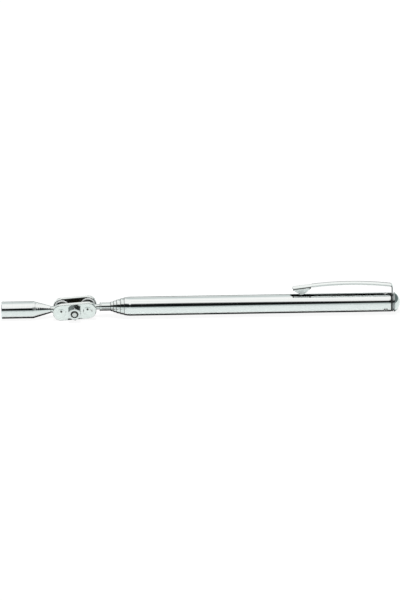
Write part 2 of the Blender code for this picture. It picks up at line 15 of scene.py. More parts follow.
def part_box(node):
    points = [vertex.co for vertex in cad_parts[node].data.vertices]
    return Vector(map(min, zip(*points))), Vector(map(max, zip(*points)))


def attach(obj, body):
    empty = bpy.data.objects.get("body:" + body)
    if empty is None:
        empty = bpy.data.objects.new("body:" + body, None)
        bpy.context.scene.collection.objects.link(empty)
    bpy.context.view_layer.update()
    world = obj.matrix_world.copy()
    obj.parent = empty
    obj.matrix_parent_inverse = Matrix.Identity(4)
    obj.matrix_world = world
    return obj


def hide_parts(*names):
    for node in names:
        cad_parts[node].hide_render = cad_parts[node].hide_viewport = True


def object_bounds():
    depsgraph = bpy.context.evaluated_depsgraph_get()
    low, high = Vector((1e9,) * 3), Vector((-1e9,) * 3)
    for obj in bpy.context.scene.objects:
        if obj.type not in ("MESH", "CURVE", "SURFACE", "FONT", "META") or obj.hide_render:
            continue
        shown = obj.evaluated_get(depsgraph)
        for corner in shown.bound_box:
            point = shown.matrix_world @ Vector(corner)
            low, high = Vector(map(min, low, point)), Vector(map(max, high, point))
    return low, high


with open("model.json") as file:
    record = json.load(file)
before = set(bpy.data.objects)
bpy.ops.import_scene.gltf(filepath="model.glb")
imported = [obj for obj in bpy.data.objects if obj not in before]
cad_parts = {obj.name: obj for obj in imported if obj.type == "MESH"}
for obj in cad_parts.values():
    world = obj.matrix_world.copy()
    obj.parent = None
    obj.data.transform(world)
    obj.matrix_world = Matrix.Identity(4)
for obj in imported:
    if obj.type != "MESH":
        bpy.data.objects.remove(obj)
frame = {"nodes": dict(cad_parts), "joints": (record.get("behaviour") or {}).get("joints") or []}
cad_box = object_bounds()

MM = 0.001
SEGMENTS = 128
SHARP_ANGLE = 32.0
NODES = frame["nodes"]
JOINTS = {joint["name"]: joint for joint in frame["joints"]}


# Measures taken from the frame ---------------------------------------------------------

class Measured:
    """A CAD node's box in millimetres, with its middle and its radius about X."""

    def __init__(self, node):
        low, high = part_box(node)
        self.x0, self.y0, self.z0 = (value / MM for value in low)
        self.x1, self.y1, self.z1 = (value / MM for value in high)
        self.middle_x = (self.x0 + self.x1) / 2
        self.middle_z = (self.z0 + self.z1) / 2
        self.radius = (self.z1 - self.z0) / 2
        self.axis = (0.0, self.middle_z)


def joint_point(name):
    return Vector(JOINTS[name]["pos_m"]) / MM


HEAD_BALL = joint_point("head_ball_pitch")
ROD_BALL = joint_point("rod_ball_pitch")
BALL_SPACING = (ROD_BALL - HEAD_BALL).length
LINK_MIDDLE = (ROD_BALL + HEAD_BALL) / 2
LINK_PITCH = math.atan2(ROD_BALL.z - HEAD_BALL.z, ROD_BALL.x - HEAD_BALL.x)
BARREL = Measured("barrel_tube")
TUBE_WALL = 0.25
TUBE_GAP = 0.04


# Mesh tools ----------------------------------------------------------------------------

def link(name, mesh):
    obj = bpy.data.objects.new(name, mesh)
    bpy.context.scene.collection.objects.link(obj)
    return obj


def finish_mesh(solid, name, sharp=SHARP_ANGLE, recalc=True):
    if recalc:
        bmesh.ops.recalc_face_normals(solid, faces=solid.faces)
    bmesh.ops.scale(solid, vec=(MM, MM, MM), verts=solid.verts)
    mesh = bpy.data.meshes.new(name)
    solid.to_mesh(mesh)
    solid.free()
    mesh.shade_smooth()
    if sharp:
        mesh.set_sharp_from_angle(angle=math.radians(sharp))
    return mesh


def rounded(corners, closed=False, steps=5):
    """Fillet a profile. Each corner is (x, r) or (x, r, fillet radius)."""
    result = []
    count = len(corners)
    for i, corner in enumerate(corners):
        here = Vector(corner[:2])
        radius = corner[2] if len(corner) > 2 else 0.0
        if radius <= 0.0 or (not closed and i in (0, count - 1)):
            result.append(here)
            continue
        before = Vector(corners[i - 1][:2]) - here
        after = Vector(corners[(i + 1) % count][:2]) - here
        half = before.angle(after) / 2
        reach = min(radius / math.tan(half), 0.48 * before.length, 0.48 * after.length)
        radius = reach * math.tan(half)
        centre = here + (before.normalized() + after.normalized()).normalized() * (
            radius / math.sin(half))
        start = here + before.normalized() * reach - centre
        end = here + after.normalized() * reach - centre
        sweep = start.angle_signed(end) if start.length > 1e-9 else 0.0
        for step in range(steps + 1):
            angle = -sweep * step / steps
            turned = Matrix.Rotation(angle, 2) @ start
            result.append(centre + turned)
    return [(p.x, p.y) for p in result]


def arc(centre, radius, start, end, steps):
    """Points (x, r) of an arc about (centre, 0), in degrees from +X towards the outside."""
    points = []
    for i in range(steps + 1):
        angle = math.radians(start + (end - start) * i / steps)
        points.append((centre + radius * math.cos(angle), radius * math.sin(angle)))
    return points


def supported(profile, closed, reach=0.06, longest=0.5):
    """Add a ring close to each end of the long stretches, so that they shade straight."""
    points = [Vector(point) for point in profile]
    result = []
    for i, here in enumerate(points):
        result.append(tuple(here))
        if i == len(points) - 1 and not closed:
            break
        after = points[(i + 1) % len(points)]
        if (after - here).length > longest:
            step = (after - here).normalized() * reach
            result += [tuple(here + step), tuple(after - step)]
    return result


def lathe(profile, axis, closed, segments=SEGMENTS, across=False):
    """Turn a profile round a line along X, or along Y when across is true.

    axis is the line's (y, z), or its (x, z) when across is true.
    """
    solid = bmesh.new()
    rings = []
    for along, radius in supported(profile, closed):
        if radius < 1e-6:
            ring = [_spot(solid, along, 0.0, 0.0, axis, across)]
        else:
            ring = [_spot(solid, along, radius, math.tau * i / segments, axis, across)
                    for i in range(segments)]
        rings.append(ring)
    pairs = list(zip(rings, rings[1:]))
    if closed:
        pairs.append((rings[-1], rings[0]))
    for first, second in pairs:
        for i in range(segments):
            j = (i + 1) % segments
            corners = [first[i % len(first)], first[j % len(first)],
                       second[j % len(second)], second[i % len(second)]]
            unique = list(dict.fromkeys(corners))
            if len(unique) > 2:
                solid.faces.new(unique)
    return solid


def _spot(solid, along, radius, angle, axis, across):
    a = axis[0] + radius * math.sin(angle)
    b = axis[1] + radius * math.cos(angle)
    place = (a, along, b) if across else (along, a, b)
    return solid.verts.new(place)


def turned(name, profile, axis, closed=False, **options):
    return link(name, finish_mesh(lathe(profile, axis, closed, **options), name))


def loft(rings):
    """A closed body through rings of places, which all have the same count."""
    solid = bmesh.new()
    rings = [[solid.verts.new(place) for place in ring] for ring in rings]
    count = len(rings[0])
    for first, second in zip(rings, rings[1:]):
        for i in range(count):
            j = (i + 1) % count
            solid.faces.new((first[i], first[j], second[j], second[i]))
    solid.faces.new(rings[0])
    solid.faces.new(rings[-1])
    return solid


def evaluated_copy(obj):
    """Apply an object's modifiers."""
    bpy.context.view_layer.update()
    graph = bpy.context.evaluated_depsgraph_get()
    mesh = bpy.data.meshes.new_from_object(obj.evaluated_get(graph))
    old = obj.data
    obj.modifiers.clear()
    obj.data = mesh
    bpy.data.meshes.remove(old)
    return obj


def combine(obj, other, operation):
    """Cut or join two objects, and remove the second."""
    modifier = obj.modifiers.new(operation, "BOOLEAN")
    modifier.operation = operation
    modifier.solver = "EXACT"
    modifier.object = other
    evaluated_copy(obj)
    bpy.data.objects.remove(other, do_unlink=True)
    return obj


def smooth_over_flats(obj, angle=SHARP_ANGLE):
    """Smooth shading that leaves large flat faces flat."""
    obj.data.shade_smooth()
    obj.data.set_sharp_from_angle(angle=math.radians(angle))
    weights = obj.modifiers.new("weights", "WEIGHTED_NORMAL")
    weights.keep_sharp = True
    weights.weight = 100
    return obj


def soften(obj, width, segments, angle):
    bevel = obj.modifiers.new("soften", "BEVEL")
    bevel.width = width * MM
    bevel.segments = segments
    bevel.limit_method = "ANGLE"
    bevel.angle_limit = math.radians(angle)
    return evaluated_copy(obj)


def dress(obj, body, slot, material, *nodes, others=()):
    """Give a piece its materials and its body, and hide the CAD nodes it stands for. slot is not
    used.
    """
    obj.data.materials.clear()
    for coat in (material, *others):
        obj.data.materials.append(coat)
    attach(obj, body)
    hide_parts(*nodes)
    return obj


# Materials -----------------------------------------------------------------------------

class Graph:
    """Short calls for a material's or the world's nodes."""

    def __init__(self, tree):
        self.tree = tree

    def node(self, kind, **settings):
        made = self.tree.nodes.new(kind)
        for key, value in settings.items():
            setattr(made, key, value)
        return made

    def wire(self, source, target):
        self.tree.links.new(source, target)

    def noise(self, vector, scale, detail=3.0, roughness=0.5, distortion=0.0):
        made = self.node("ShaderNodeTexNoise")
        made.inputs["Scale"].default_value = scale
        made.inputs["Detail"].default_value = detail
        made.inputs["Roughness"].default_value = roughness
        made.inputs["Distortion"].default_value = distortion
        self.wire(vector, made.inputs["Vector"])
        return made.outputs["Fac"]

    def stretched(self, vector, scale):
        made = self.node("ShaderNodeMapping")
        made.inputs["Scale"].default_value = scale
        self.wire(vector, made.inputs["Vector"])
        return made.outputs["Vector"]

    def spread(self, value, low, high, out_low, out_high):
        made = self.node("ShaderNodeMapRange")
        for key, number in (("From Min", low), ("From Max", high),
                            ("To Min", out_low), ("To Max", out_high)):
            made.inputs[key].default_value = number
        self.wire(value, made.inputs["Value"])
        return made.outputs["Result"]

    def split(self, vector):
        made = self.node("ShaderNodeSeparateXYZ")
        self.wire(vector, made.inputs["Vector"])
        return [made.outputs[axis] for axis in "XYZ"]

    def math(self, operation, *values):
        made = self.node("ShaderNodeMath", operation=operation)
        for socket, value in zip(made.inputs, values):
            if isinstance(value, (int, float)):
                socket.default_value = value
            else:
                self.wire(value, socket)
        return made.outputs["Value"]

    def ramp(self, value, stops):
        made = self.node("ShaderNodeValToRGB")
        elements = made.color_ramp.elements
        while len(elements) < len(stops):
            elements.new(0.5)
        for element, (place, color) in zip(elements, stops):
            element.position = place
            element.color = (*color, 1.0)
        self.wire(value, made.inputs["Fac"])
        return made.outputs["Color"]

    def mix(self, factor, first, second):
        made = self.node("ShaderNodeMix", data_type="RGBA")
        self.wire(factor, made.inputs[0])
        for index, value in ((6, first), (7, second)):
            if isinstance(value, tuple):
                made.inputs[index].default_value = (*value, 1.0)
            else:
                self.wire(value, made.inputs[index])
        return made.outputs[2]

    def bump(self, height, strength, distance, normal=None):
        made = self.node("ShaderNodeBump")
        made.inputs["Strength"].default_value = strength
        made.inputs["Distance"].default_value = distance
        self.wire(height, made.inputs["Height"])
        if normal is not None:
            self.wire(normal, made.inputs["Normal"])
        return made.outputs["Normal"]


def new_material(name, metallic=0.0):
    """A material, its graph, its shader and the piece's own coordinates."""
    material = bpy.data.materials.new(name)
    material.use_nodes = True
    graph = Graph(material.node_tree)
    shader = material.node_tree.nodes["Principled BSDF"]
    shader.inputs["Metallic"].default_value = metallic
    return material, graph, shader, graph.node("ShaderNodeTexCoord").outputs["Object"]


def drawn_metal(name, light, dark, rough_low, rough_high, grain=2600.0, metallic=1.0):
    """Plated metal with fine lines drawn along X, faint smudges and a touch of tarnish."""
    material, graph, shader, where = new_material(name, metallic)
    lines = graph.noise(graph.stretched(where, (0.02, 1.0, 1.0)), grain, 4.0, 0.6)
    smudge = graph.noise(where, 90.0, 4.0, 0.55, 0.4)
    specks = graph.noise(where, 900.0, 2.0, 0.5)
    tone = graph.math("ADD", graph.spread(lines, 0.3, 0.7, 0.0, 0.6),
                      graph.spread(smudge, 0.35, 0.7, 0.0, 0.4))
    graph.wire(graph.mix(tone, dark, light), shader.inputs["Base Color"])
    rough = graph.math("ADD", graph.spread(lines, 0.3, 0.7, rough_low, rough_high),
                       graph.spread(smudge, 0.45, 0.75, 0.0, 0.035))
    graph.wire(rough, shader.inputs["Roughness"])
    height = graph.bump(lines, 0.05, 0.00002)
    graph.wire(graph.bump(specks, 0.02, 0.00002, height), shader.inputs["Normal"])
    return material


def turned_metal(name, light, dark, rough_low, rough_high, pitch, lift, ridges=None):
    """Plated metal with fine rings left by the lathe, round X.

    ridges, if given, is (start, end, pitch, height) of coarser tool marks along X, which
    die out towards the end.
    """
    material, graph, shader, where = new_material(name, 1.0)
    rings = graph.noise(graph.stretched(where, (1.0, 0.02, 0.02)), 1.0 / pitch, 3.0, 0.55)
    smudge = graph.noise(where, 110.0, 4.0, 0.55, 0.3)
    tone = graph.math("ADD", graph.spread(rings, 0.3, 0.7, 0.0, 0.6),
                      graph.spread(smudge, 0.35, 0.7, 0.0, 0.4))
    graph.wire(graph.mix(tone, dark, light), shader.inputs["Base Color"])
    graph.wire(graph.spread(smudge, 0.35, 0.75, rough_low, rough_high),
               shader.inputs["Roughness"])
    normal = graph.bump(rings, lift, 0.00003)
    if ridges:
        start, end, spacing, height = ridges
        along = graph.split(where)[0]
        inside = graph.math("MULTIPLY", graph.spread(along, start, start + 0.0004, 0.0, 1.0),
                            graph.spread(along, start + 0.002, end, 1.0, 0.25))
        uneven = graph.noise(graph.stretched(where, (1.0, 0.01, 0.01)), 0.6 / spacing, 1.0)
        phase = graph.math("ADD", graph.math("MULTIPLY", along, math.tau / spacing),
                           graph.math("MULTIPLY", uneven, 6.0))
        marks = graph.math("MULTIPLY", graph.math("SINE", phase), inside)
        normal = graph.bump(marks, 1.0, height, normal)
    graph.wire(normal, shader.inputs["Normal"])
    return material


def stamped_metal(name, light, dark, rough_low, rough_high, dent=0.25):
    """Tumbled, plated stampings: soft dents, small pits and cloudy plating."""
    material, graph, shader, where = new_material(name, 1.0)
    dents = graph.noise(where, 420.0, 2.0, 0.5, 0.2)
    pits = graph.noise(where, 2600.0, 3.0, 0.6)
    cloud = graph.noise(where, 160.0, 4.0, 0.6, 0.5)
    tone = graph.math("ADD", graph.spread(cloud, 0.3, 0.7, 0.0, 0.7),
                      graph.spread(pits, 0.3, 0.6, 0.0, 0.3))
    graph.wire(graph.mix(tone, dark, light), shader.inputs["Base Color"])
    rough = graph.math("ADD", graph.spread(cloud, 0.3, 0.7, rough_low, rough_high),
                       graph.spread(pits, 0.3, 0.55, 0.05, 0.0))
    graph.wire(rough, shader.inputs["Roughness"])
    rounded_dents = graph.bump(dents, dent, 0.00012)
    graph.wire(graph.bump(pits, 0.08, 0.00002, rounded_dents), shader.inputs["Normal"])
    return material


def ground_metal(name, light, dark, axis_height, rough_low, rough_high):
    """A face ground on a lathe: rings about the head's axis, with random scratches."""
    material, graph, shader, where = new_material(name, 1.0)
    across, upward = graph.split(where)[1:]
    height = graph.math("SUBTRACT", upward, axis_height * MM)
    radius = graph.math("SQRT", graph.math("ADD", graph.math("POWER", across, 2.0),
                                           graph.math("POWER", height, 2.0)))
    place = graph.node("ShaderNodeCombineXYZ")
    graph.wire(radius, place.inputs["X"])
    rings = graph.noise(place.outputs["Vector"], 9000.0, 3.0, 0.6)
    scratches = graph.noise(graph.stretched(where, (1.0, 1.0, 0.06)), 2400.0, 2.0, 0.5, 0.6)
    cloud = graph.noise(where, 300.0, 3.0, 0.6)
    tone = graph.math("ADD", graph.spread(rings, 0.3, 0.7, 0.0, 0.5),
                      graph.spread(cloud, 0.3, 0.7, 0.0, 0.5))
    graph.wire(graph.mix(tone, dark, light), shader.inputs["Base Color"])
    graph.wire(graph.spread(cloud, 0.3, 0.7, rough_low, rough_high), shader.inputs["Roughness"])
    graph.wire(graph.bump(scratches, 0.12, 0.00002, graph.bump(rings, 0.15, 0.00002)),
               shader.inputs["Normal"])
    return material


# Telescoping tubes ---------------------------------------------------------------------

SECTION_SWAGE = 2.4
BARREL_SWAGE = 3.2
SWAGE_DROP = 0.3
MOUTH_LIP = 0.24
BORE_BREAK = 0.03
END_BREAK = 0.02
SECTION_END_ROLL = 0.07
BARREL_END_ROLL = 0.5
# Length of the mouth's edge that is painted dark as shade.
MOUTH_SHADE_LENGTH = 0.2


def swaged_profile(x_mouth, x_end, radius, next_radius, swage, roll, extra=()):
    """Outline of a tube with a narrowed mouth, from the rear end down its outer side.

    roll is the radius of its rear edge, and extra holds more rings along X.
    """
    bore = radius - TUBE_WALL
    mouth_bore = next_radius + TUBE_GAP
    outer = [(x_end, bore + END_BREAK), (x_end, radius - roll)]
    outer += [(x_end - roll + roll * math.cos(math.radians(angle)),
               radius - roll + roll * math.sin(math.radians(angle)))
              for angle in (15, 30, 45, 60, 75, 90)]
    outer += [(x, radius) for x in extra]
    steps = 14
    for i in range(steps + 1):
        t = 1.0 - i / steps
        outer.append((x_mouth + MOUTH_LIP + (swage - MOUTH_LIP) * t,
                      radius - SWAGE_DROP * (1.0 - t) ** 2))
    nose = radius - SWAGE_DROP
    lip_depth = nose - mouth_bore - BORE_BREAK
    inner = []
    for i in range(1, 5):
        angle = math.radians(22.5 * i)
        inner.append((x_mouth + MOUTH_LIP * (1 - math.sin(angle)),
                      nose - lip_depth * (1 - math.cos(angle))))
    inner += [(x_mouth, mouth_bore + BORE_BREAK), (x_mouth + BORE_BREAK, mouth_bore),
              (x_mouth + 0.5 * swage, mouth_bore), (x_mouth + swage, bore),
              (x_end - END_BREAK, bore)]
    return outer + inner


def paint_mouth_shade(tube, x_mouth, shade_coat):
    """The mouth's edge is painted dark, as painted shade where the next tube comes out."""
    tube.data.materials.append(shade_coat)
    for face in tube.data.polygons:
        if face.center.x < (x_mouth + MOUTH_SHADE_LENGTH) * MM:
            face.material_index = 1


def make_sections(material, shade_coat):
    names = [f"section_{number}_tube" for number in range(2, 7)]
    boxes = [Measured(name) for name in names]
    for number, box in zip(range(2, 6), boxes):
        next_radius = boxes[number - 1].radius if number < 5 else TIP_TUBE_RADIUS
        profile = swaged_profile(box.x0, box.x1, box.radius, next_radius, SECTION_SWAGE,
                                 SECTION_END_ROLL)
        tube = turned(f"section_{number}_drawn_tube", profile, box.axis, True)
        dress(tube, f"section_{number}", "tube_steel", material, f"section_{number}_tube")
        paint_mouth_shade(tube, box.x0, shade_coat)
    make_tip_tube(boxes[-1], material)


TIP_TUBE_RADIUS = 1.9


def make_tip_tube(box, material):
    radius = TIP_TUBE_RADIUS
    bore = radius - TUBE_WALL
    bead = box.x0 + 0.55
    corners = [(box.x1, bore), (box.x1, radius, 0.05), (bead + 0.3, radius),
               (bead + 0.16, radius - 0.08, 0.06), (bead, radius - 0.06, 0.05),
               (bead - 0.04, box.radius, 0.1), (box.x0 + 0.1, box.radius, 0.15),
               (box.x0, radius - 0.1, 0.05), (box.x0, bore)]
    tube = turned("section_6_drawn_tube", rounded(corners, True), box.axis, True)
    dress(tube, "section_6", "tube_steel", material, "section_6_tube")


STAKE_FROM_PLUG_END = 2.6
DENT_RADIUS = 1.0
DENT_DEPTH = 0.6
DENT_ANGLES = [math.radians(angle) for angle in (-28.0, 92.0, 212.0)]
GROOVE_FROM_END = 0.9
GROOVE_HALF = 0.12
GROOVE_DEPTH = 0.012
# Length of the barrel's rear edge that is painted dark as shade.
REAR_EDGE_SHADE = 0.42


def make_barrel(material, shade_coat):
    """The barrel, with three dents where it is staked to the plug inside."""
    box = BARREL
    stake = Measured("end_plug").x1 - STAKE_FROM_PLUG_END
    steps = 22
    reach = DENT_RADIUS * 1.15
    rings = [stake + reach - 2 * reach * i / steps for i in range(steps + 1)]
    groove = box.x1 - GROOVE_FROM_END
    fine_groove = [(groove + GROOVE_HALF, box.radius), (groove, box.radius - GROOVE_DEPTH),
                   (groove - GROOVE_HALF, box.radius)]
    next_radius = Measured("section_2_tube").radius
    profile = swaged_profile(box.x0, box.x1, box.radius, next_radius, BARREL_SWAGE,
                             BARREL_END_ROLL, rings)
    at = next(i for i, (x, r) in enumerate(profile) if x < groove - 2 * GROOVE_HALF)
    profile[at:at] = fine_groove
    solid = lathe(profile, box.axis, True, 192)
    for vertex in solid.verts:
        x, y, z = vertex.co
        radial = Vector((0.0, y, z - box.middle_z))
        if radial.length < box.radius - 0.1 or abs(x - stake) > reach:
            continue
        for angle in DENT_ANGLES:
            facing = Vector((0.0, -math.cos(angle), math.sin(angle)))
            around = box.radius * radial.angle(facing)
            away = math.hypot(x - stake, around) / DENT_RADIUS
            if away < 1.0:
                vertex.co -= radial.normalized() * DENT_DEPTH * (1.0 - away) ** 1.2
    barrel = link("barrel_chromed_tube", finish_mesh(solid, "barrel_chromed_tube"))
    dress(barrel, "barrel", "chrome", material, "barrel_tube")
    paint_mouth_shade(barrel, box.x0, shade_coat)
    # Painted shade: the dents and the rear edge by the cap get the near-black coat.
    for face in barrel.data.polygons:
        x, y, z = face.center / MM
        dent_shade = abs(x - stake) < 0.7 and math.hypot(y, z - box.middle_z) < box.radius - 0.06
        if dent_shade or x > box.x1 - REAR_EDGE_SHADE:
            face.material_index = 1


# Rear end ------------------------------------------------------------------------------

CAP_RISE = 2.45
CAP_RIM = 0.45
CAP_NECK = 0.33
CAP_SHANK_RADIUS = 1.3


def make_end_cap(material, rim_shade_material):
    box = Measured("end_cap")
    rim_back = box.x1 - CAP_RISE
    rim_front = rim_back - CAP_RIM
    seat = rim_front - CAP_NECK
    dome = (box.radius ** 2 + CAP_RISE ** 2) / (2 * CAP_RISE)
    spread = math.degrees(math.asin(box.radius / dome))
    profile = arc(box.x1 - dome, dome, 0.0, spread - 2.0, 26)
    rim = [(rim_back + 0.12, box.radius - 0.09), (rim_back, box.radius, 0.15),
           (rim_front, box.radius, 0.08), (rim_front, box.radius - 0.55, 0.05),
           (seat, box.radius - 0.55), (seat, CAP_SHANK_RADIUS),
           (box.x0, CAP_SHANK_RADIUS, 0.1), (box.x0, 0.0)]
    profile += rounded(rim)
    cap = turned("end_cap_dome", profile, box.axis)
    dress(cap, "barrel", "chrome", material, "end_cap", others=(rim_shade_material,))
    # Painted shade: the rim and the seat behind it are darker, for the groove at the barrel's end.
    for face in cap.data.polygons:
        if face.center.x < (rim_back + 0.05) * MM:
            face.material_index = 1


def make_clip_ring(material):
    box = Measured("clip_ring")
    corners = [(box.x1, 1.6), (box.x1, box.radius, 0.08), (box.x0, box.radius, 0.08),
               (box.x0, 1.6)]
    ring = turned("clip_ring_washer", rounded(corners, True), box.axis, True)
    dress(ring, "barrel", "dark_steel", material, "clip_ring")


# Magnet head ---------------------------------------------------------------------------

SHELL = Measured("magnet_head_shell")
SHELL_STRAIGHT = 14.6
CONE_END_RADIUS = 1.62
STUD_HOLE_RADIUS = 1.15


def make_head(shell_material, magnet_material):
    shell = SHELL
    magnet = Measured("magnet")
    straight = shell.x0 + SHELL_STRAIGHT
    bore = magnet.radius + 0.05
    floor = Measured("backing_disc").x1 + 0.08
    corners = [(shell.x1, STUD_HOLE_RADIUS), (shell.x1, CONE_END_RADIUS, 0.18),
               (straight, shell.radius, 0.8), (shell.x0, shell.radius, 0.35),
               (shell.x0, bore, 0.06), (floor, bore, 0.1), (floor, STUD_HOLE_RADIUS)]
    outline = rounded(corners, True, 8)
    head = turned("magnet_head_cup", outline, shell.axis, True)
    dress(head, "magnet_head", "chrome", shell_material, "magnet_head_shell")
    corners = [(magnet.x1, 0.0), (magnet.x1, magnet.radius, 0.1),
               (magnet.x0, magnet.radius, 0.16), (magnet.x0, 0.0)]
    slug = turned("magnet_slug", rounded(corners), magnet.axis)
    dress(slug, "magnet_head", "magnet_nickel", magnet_material, "magnet")


# Ball studs ----------------------------------------------------------------------------

BALL_RADIUS = 2.6
HEAD_NECK_RADIUS = 1.5
HEAD_SHANK_RADIUS = 1.1
ROD_NECK_RADIUS = 1.25


def make_studs(material):
    head_stud = Measured("head_ball_stud")
    shoulder = SHELL.x1 + 0.02
    neck = HEAD_NECK_RADIUS
    meets = math.degrees(math.asin((neck + 0.12) / BALL_RADIUS))
    profile = arc(HEAD_BALL.x, BALL_RADIUS, 0.0, 180.0 - meets, 40)
    throat = HEAD_BALL.x - BALL_RADIUS * math.cos(math.radians(meets))
    corners = [profile[-1], (throat - 0.3, neck, 0.4), (shoulder, neck, 0.12),
               (shoulder, HEAD_SHANK_RADIUS), (head_stud.x0, HEAD_SHANK_RADIUS, 0.15),
               (head_stud.x0, 0.0)]
    profile = profile[:-1] + rounded(corners)
    stud = turned("head_ball_and_neck", profile, head_stud.axis)
    dress(stud, "head_stud", "polished_steel", material, "head_ball_stud")
    rod_stud = Measured("rod_ball_stud")
    tube_face = Measured("section_6_tube").x0
    neck = ROD_NECK_RADIUS
    meets = math.degrees(math.asin((neck + 0.12) / BALL_RADIUS))
    shank = TIP_TUBE_RADIUS - TUBE_WALL - TUBE_GAP
    ball = arc(ROD_BALL.x, BALL_RADIUS, meets, 180.0, 40)
    throat = ball[0][0]
    corners = [(rod_stud.x1, 0.0), (rod_stud.x1, shank, 0.1), (tube_face + 0.1, shank, 0.05),
               (tube_face + 0.1, neck), (throat + 0.3, neck, 0.4), ball[0]]
    profile = rounded(corners) + ball[1:]
    stud = turned("rod_ball_and_neck", profile, rod_stud.axis)
    dress(stud, "rod_stud", "polished_steel", material, "rod_ball_stud")


# Swivel link ---------------------------------------------------------------------------

PLATE_THICKNESS = 2.1
PLATE_INNER = 2.1
PLATE_OUTER = PLATE_INNER + PLATE_THICKNESS
PLATE_RADIUS = 3.95
BULGE_RADIUS = 2.3
BULGE_HEIGHT = 0.35
SOCKET_RADIUS = 2.7
NUT_ACROSS_FLATS = 5.5
LIP_MIDDLE_RADIUS = 3.0
LIP_RADIUS = 0.45
PUNCH_RISE = 0.95
SCREW_HOLE_RADIUS = 1.6


def link_point(along, up=0.0):
    """A place in the link's plane, measured from the middle of its screw, as (x, z)."""
    cos, sin = math.cos(LINK_PITCH), math.sin(LINK_PITCH)
    return (LINK_MIDDLE.x + along * cos - up * sin, LINK_MIDDLE.z + along * sin + up * cos)


def plate_blank(name, side):
    """A stadium-shaped plate with rounded edges. side is 1 in front and -1 at the back."""
    steps = 40
    outline = []
    for centre, start in ((BALL_SPACING / 2, -90.0), (-BALL_SPACING / 2, 90.0)):
        for i in range(steps + 1):
            angle = math.radians(start + 180.0 * i / steps)
            outline.append(link_point(centre + PLATE_RADIUS * math.cos(angle),
                                      PLATE_RADIUS * math.sin(angle)))
    solid = loft([[(x, -side * y, z) for x, z in outline] for y in (PLATE_OUTER, PLATE_INNER)])
    return soften(link(name, finish_mesh(solid, name, None)), 0.4, 5, 50.0)


def bulge_profile(side):
    """The low dome over a ball socket."""
    top = PLATE_OUTER + BULGE_HEIGHT
    profile = [(top, 0.0), (top - 0.02, 0.6), (top - 0.05, 1.0), (top - 0.11, 1.4),
               (top - 0.2, 1.8), (top - 0.29, 2.1), (PLATE_OUTER - 0.02, BULGE_RADIUS),
               (PLATE_OUTER - 0.5, BULGE_RADIUS), (PLATE_OUTER - 0.5, 0.0)]
    return [(-side * y, r) for y, r in profile]


def punch_profile(side, radius):
    """The cone a punch leaves in a dome."""
    top = PLATE_OUTER + BULGE_HEIGHT
    depth = 0.8 * radius
    return [(-side * y, r) for y, r in ((top + 0.2, 0.0), (top + 0.2, radius),
                                        (top - 0.05, radius), (top - depth, 0.0))]


def across_link(name, profile, place, closed=False, segments=96):
    """A body turned about a line across the link."""
    return turned(name, profile, place, closed, segments=segments, across=True)


def make_plate(name, side, node, material, shade_coat, highlight_material):
    plate = plate_blank(name, side)
    marks = []
    for along, mark_radius in ((-BALL_SPACING / 2, 0.5), (BALL_SPACING / 2, 0.55)):
        place = link_point(along)
        combine(plate, across_link("bulge", bulge_profile(side), place), "UNION")
        mark = link_point(along, PUNCH_RISE)
        marks.append(mark)
        punch = across_link("punch", punch_profile(side, mark_radius), mark, False, 32)
        combine(plate, punch, "DIFFERENCE")
        lip = [(LIP_RADIUS * math.sin(math.radians(angle)) - side * PLATE_INNER,
                LIP_MIDDLE_RADIUS + LIP_RADIUS * math.cos(math.radians(angle)))
               for angle in range(0, 360, 30)]
        combine(plate, across_link("lip", lip, place, True), "UNION")
        socket = arc(0.0, SOCKET_RADIUS, 0.0, 180.0, 48)
        combine(plate, across_link("socket", socket, place), "DIFFERENCE")
    end = PLATE_OUTER + 2.0
    hole = [(end, 0.0), (end, SCREW_HOLE_RADIUS), (-end, SCREW_HOLE_RADIUS), (-end, 0.0)]
    combine(plate, across_link("hole", hole, link_point(0.0)), "DIFFERENCE")
    smooth_over_flats(plate, 34.0)
    dress(plate, "swivel_link", "plated_steel", material, node,
          others=(shade_coat, highlight_material))
    # Painted highlight on the socket lips and the rims near the balls; painted shade on the inner
    # faces and punch marks.
    for face in plate.data.polygons:
        x, y, z = face.center / MM
        away = min(math.hypot(x - ball.x, z - ball.z) for ball in (HEAD_BALL, ROD_BALL))
        lip_highlight = abs(y) < PLATE_INNER - 0.01 and away > SOCKET_RADIUS
        shade_depth = 0.3 if abs(x - LINK_MIDDLE.x) < 5.0 else 0.06
        punch_shade = abs(y) > PLATE_OUTER - 0.2 and min(
            math.hypot(x - mark_x, z - mark_z) for mark_x, mark_z in marks) < 0.5
        rim_highlight = 0.06 <= abs(y) - PLATE_INNER < 0.75 and abs(x - LINK_MIDDLE.x) > 6.5
        if lip_highlight or rim_highlight:
            face.material_index = 2
        elif abs(y) < PLATE_INNER + shade_depth or punch_shade:
            face.material_index = 1


def make_screw(material, nut_screw_shade):
    box = Measured("clamp_screw")
    seat = PLATE_OUTER + 0.02
    corners = [(box.y0, 0.0), (box.y0, 1.02, 0.05), (box.y0 + 0.4, 1.45), (seat, 1.45, 0.05),
               (seat, box.radius, 0.08), (box.y1 - 0.9, box.radius, 0.5),
               (box.y1 - 0.12, 1.9, 1.5), (box.y1, 0.0)]
    screw = across_link("clamp_screw_pan_head", rounded(corners, False, 10), link_point(0.0))
    cutter = bmesh.new()
    bmesh.ops.create_cube(cutter, size=1.0)
    bmesh.ops.scale(cutter, vec=(9.0, 2.2, 0.8), verts=cutter.verts)
    bmesh.ops.rotate(cutter, matrix=Matrix.Rotation(-LINK_PITCH, 3, "Y"), verts=cutter.verts)
    x, z = link_point(0.0)
    bmesh.ops.translate(cutter, vec=(x, box.y1, z), verts=cutter.verts)
    combine(screw, link("slot", finish_mesh(cutter, "slot", None)), "DIFFERENCE")
    smooth_over_flats(screw)
    dress(screw, "swivel_link", "screw_steel", material, "clamp_screw",
          others=(nut_screw_shade,))
    # Painted shade: a dark ring round the screw's end.
    for face in screw.data.polygons:
        away = math.hypot(face.center.x / MM - x, face.center.z / MM - z)
        if 1.05 < away < 1.5 and face.center.y < 0.0:
            face.material_index = 1


